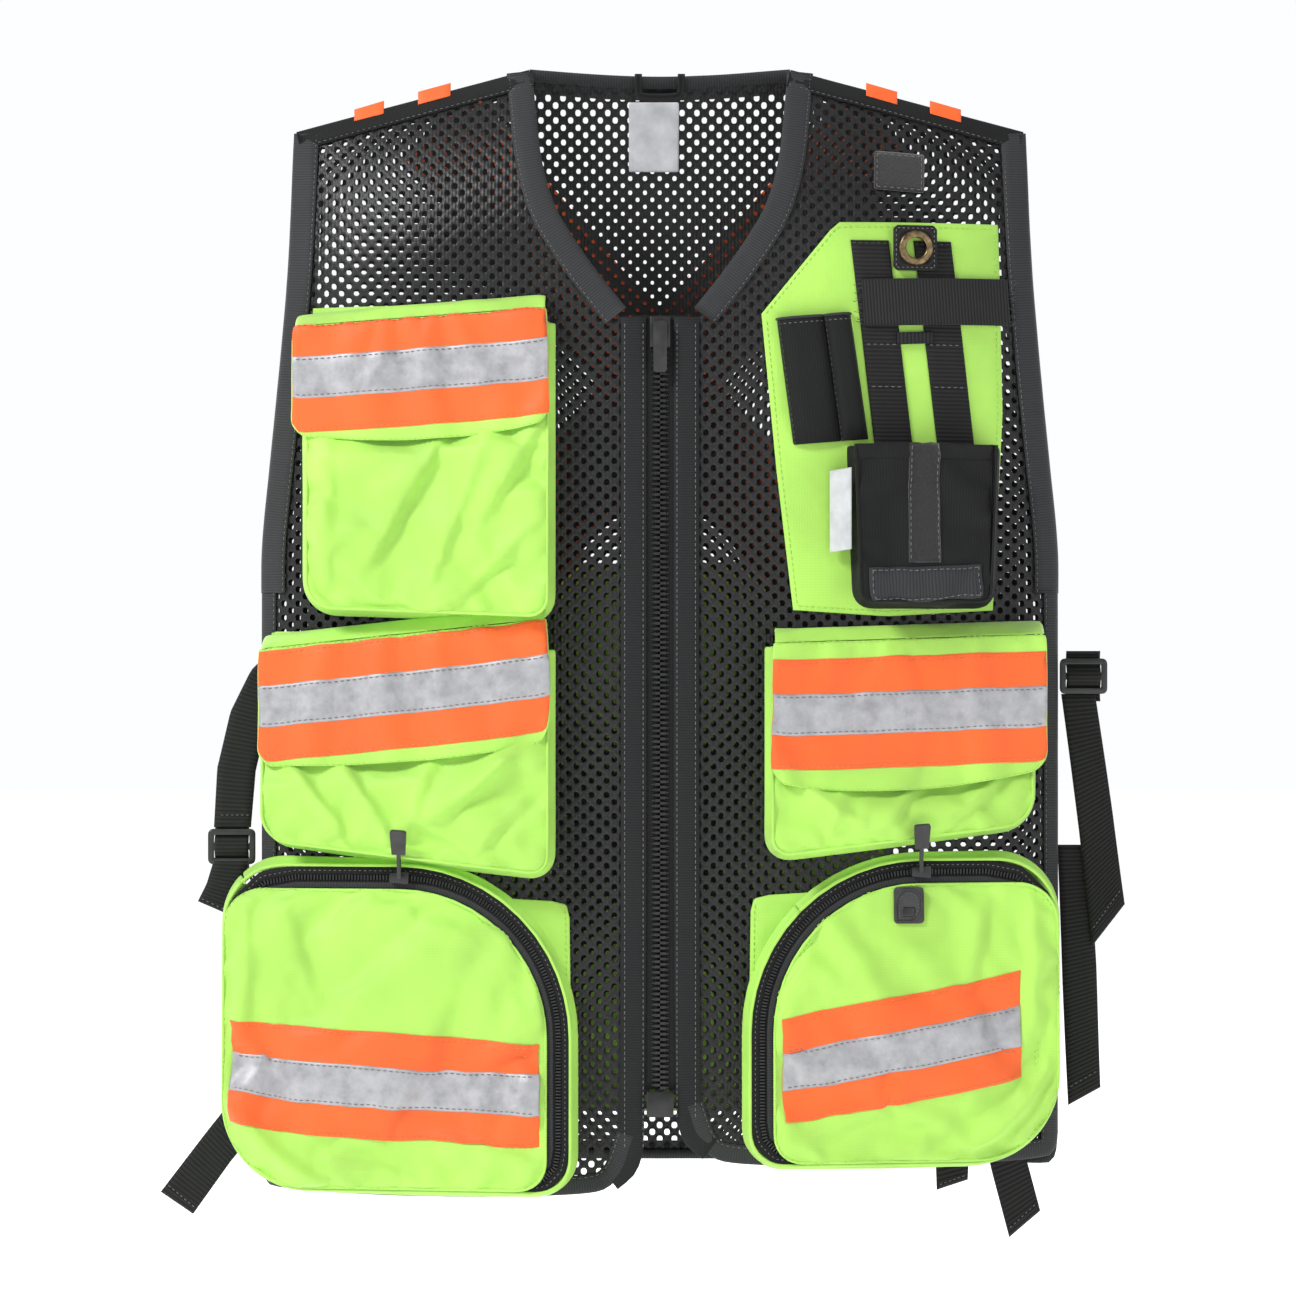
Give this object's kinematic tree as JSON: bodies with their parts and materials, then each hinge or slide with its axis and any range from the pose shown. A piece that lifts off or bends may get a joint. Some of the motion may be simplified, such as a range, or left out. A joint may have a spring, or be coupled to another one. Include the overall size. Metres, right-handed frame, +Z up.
{
  "type": "high visibility vest",
  "caption": "Zip-front mesh utility vest with reflective tape, bellows and zipped pockets, a radio pouch, pen sleeve and adjustable side straps.",
  "frame": {"origin": "the hanging point at the middle of the back neck, where a hook or the neck of the wearer holds the vest", "axes": "+Z up, -Y out of the front, +X towards the left arm of the wearer"},
  "size_m": [0.651, 0.1609, 0.79],
  "materials": {
    "mesh": "black open polyester mesh",
    "yellow_cloth": "fluorescent yellow-green polyester",
    "reflective_tape": "silver retroreflective tape on orange cloth",
    "webbing": "black ribbed polyester webbing",
    "binding": "charcoal woven binding",
    "elastic": "black knitted elastic",
    "hook_and_loop": "black hook and loop tape",
    "black_plastic": "moulded black plastic",
    "zip_teeth": "moulded black plastic teeth",
    "brass": "antique brass"
  },
  "bodies": {
    "root": {"armhole_binding_left": "binding", "armhole_binding_right": "binding", "back_panel": "mesh", "back_tape_cross": "reflective_tape", "chest_pocket_right": "yellow_cloth", "elastic_band": "elastic", "front_panel_left": "mesh", "front_panel_right": "mesh", "grommet": "brass", "grommet_tab": "webbing", "hanger_loop": "binding", "lower_pocket_left": "yellow_cloth", "lower_pocket_right": "yellow_cloth", "lower_zip_left": "binding", "lower_zip_right": "binding", "mic_patch": "hook_and_loop", "mid_pocket_left": "yellow_cloth", "mid_pocket_right": "yellow_cloth", "neck_binding": "binding", "pen_sleeve": "elastic", "placket_left": "binding", "placket_right": "binding", "pouch_hook_strip": "hook_and_loop", "radio_panel": "yellow_cloth", "radio_pouch": "binding", "rear_pouch": "yellow_cloth", "strap_right": "webbing", "webbing_inner": "webbing", "webbing_outer": "webbing", "zipper_retaining_box": "black_plastic", "zipper_tape_left": "binding", "zipper_tape_right": "binding", "zipper_teeth_left": "zip_teeth", "zipper_teeth_right": "zip_teeth"},
    "zipper_slider": {"zipper_slider": "black_plastic"},
    "zipper_pull": {"zipper_pull": "black_plastic"},
    "chest_flap": {"chest_flap_right": "yellow_cloth", "chest_flap_tape_right": "reflective_tape"},
    "mid_flap_right": {"mid_flap_right": "yellow_cloth", "mid_flap_tape_right": "reflective_tape"},
    "mid_flap_left": {"mid_flap_left": "yellow_cloth", "mid_flap_tape_left": "reflective_tape"},
    "lower_cover_right": {"lower_cover_right": "yellow_cloth", "lower_tape_right": "reflective_tape"},
    "lower_cover_left": {"lower_cover_left": "yellow_cloth", "lower_tape_left": "reflective_tape"},
    "lower_slider_right": {"lower_slider_right": "black_plastic"},
    "lower_slider_left": {"lower_slider_left": "black_plastic"},
    "lower_pull_right": {"lower_pull_right": "black_plastic"},
    "lower_pull_left": {"lower_pull_left": "black_plastic"},
    "lower_grip_left": {"lower_grip_left": "black_plastic"},
    "pouch_flap": {"pouch_flap": "binding"},
    "buckle_right": {"buckle_right": "black_plastic"},
    "buckle_left": {"buckle_left": "black_plastic"},
    "strap_tail_right": {"strap_tail_right": "webbing"},
    "strap_tail_left": {"strap_tail_left": "webbing"},
    "side_tail_left": {"side_tail_left": "webbing"},
    "lower_tail_right": {"lower_tail_right": "webbing"},
    "lower_tail_left": {"lower_tail_left": "webbing"},
    "inner_tail_left": {"inner_tail_left": "webbing"}
  },
  "joints": [
    {"name": "zipper_slide", "type": "slide", "parent": "root", "child": "zipper_slider", "axis": [0, 0, -1], "range_m": [0, 0.48]},
    {"name": "zipper_pull_swing", "type": "hinge", "parent": "zipper_slider", "child": "zipper_pull", "pos_m": [0, -0.0685, -0.171], "axis": [-1, 0, 0], "range_deg": [0, 150]},
    {"name": "chest_flap_hinge", "type": "hinge", "parent": "root", "child": "chest_flap", "pos_m": [-0.075, -0.07761, -0.163], "axis": [-0.9874, 0.1442, -0.0647], "range_deg": [0, 100]},
    {"name": "mid_flap_right_hinge", "type": "hinge", "parent": "root", "child": "mid_flap_right", "pos_m": [-0.075, -0.07695, -0.368], "axis": [-0.9846, 0.1415, -0.1031], "range_deg": [0, 65]},
    {"name": "mid_flap_left_hinge", "type": "hinge", "parent": "root", "child": "mid_flap_left", "pos_m": [0.075, -0.07803, -0.384], "axis": [-0.9881, -0.1502, -0.0328], "range_deg": [0, 100]},
    {"name": "lower_cover_right_hinge", "type": "hinge", "parent": "root", "child": "lower_cover_right", "pos_m": [-0.075, -0.08557, -0.743], "axis": [0.9889, -0.1483, 0], "range_deg": [0, 75]},
    {"name": "lower_zip_right_run", "type": "hinge", "parent": "root", "child": "lower_slider_right", "pos_m": [-0.172, -0.06808, -0.644], "axis": [0.1481, 0.9872, -0.0592], "range_deg": [0, 88]},
    {"name": "lower_pull_right_swing", "type": "hinge", "parent": "lower_slider_right", "child": "lower_pull_right", "pos_m": [-0.172, -0.06758, -0.538], "axis": [0.9889, -0.1483, 0], "range_deg": [0, 55]},
    {"name": "lower_cover_left_hinge", "type": "hinge", "parent": "root", "child": "lower_cover_left", "pos_m": [0.075, -0.08473, -0.725], "axis": [0.9889, 0.1483, 0], "range_deg": [0, 75]},
    {"name": "lower_zip_left_run", "type": "hinge", "parent": "root", "child": "lower_slider_left", "pos_m": [0.172, -0.06808, -0.64], "axis": [0.1481, -0.9872, 0.0592], "range_deg": [0, 88]},
    {"name": "lower_pull_left_swing", "type": "hinge", "parent": "lower_slider_left", "child": "lower_pull_left", "pos_m": [0.172, -0.06758, -0.534], "axis": [0.9889, 0.1483, 0], "range_deg": [0, 55]},
    {"name": "lower_grip_left_swing", "type": "hinge", "parent": "lower_cover_left", "child": "lower_grip_left", "pos_m": [0.164, -0.06588, -0.545], "axis": [-0.9889, -0.1483, 0], "range_deg": [0, 75]},
    {"name": "pouch_flap_hinge", "type": "hinge", "parent": "root", "child": "pouch_flap", "pos_m": [0.14, -0.0889, -0.355], "axis": [0.979, 0.1958, 0.0559], "range_deg": [0, 90]},
    {"name": "buckle_right_tilt", "type": "hinge", "parent": "root", "child": "buckle_right", "pos_m": [-0.289, 0, -0.521], "axis": [1, 0, 0], "range_deg": [0, 35]},
    {"name": "strap_tail_right_swing", "type": "hinge", "parent": "buckle_right", "child": "strap_tail_right", "pos_m": [-0.289, 0, -0.536], "axis": [1, 0, 0], "range_deg": [0, 60]},
    {"name": "lower_tail_right_swing", "type": "hinge", "parent": "root", "child": "lower_tail_right", "pos_m": [-0.27675, 0, -0.6975], "axis": [0.6178, 0, -0.7863], "range_deg": [0, 60]},
    {"name": "buckle_left_tilt", "type": "hinge", "parent": "root", "child": "buckle_left", "pos_m": [0.286, 0, -0.406], "axis": [-1, 0, 0], "range_deg": [0, 35]},
    {"name": "strap_tail_left_swing", "type": "hinge", "parent": "buckle_left", "child": "strap_tail_left", "pos_m": [0.282, 0, -0.421], "axis": [-1, 0, 0], "range_deg": [0, 60]},
    {"name": "side_tail_left_swing", "type": "hinge", "parent": "root", "child": "side_tail_left", "pos_m": [0.2795, 0.004, -0.52], "axis": [1, 0, 0], "range_deg": [0, 60]},
    {"name": "lower_tail_left_swing", "type": "hinge", "parent": "root", "child": "lower_tail_left", "pos_m": [0.226, 0, -0.694], "axis": [1, 0, 0], "range_deg": [-20, 4]},
    {"name": "inner_tail_left_swing", "type": "hinge", "parent": "root", "child": "inner_tail_left", "pos_m": [0.1975, 0, -0.7], "axis": [1, 0, 0], "range_deg": [-20, 20]}
  ]
}
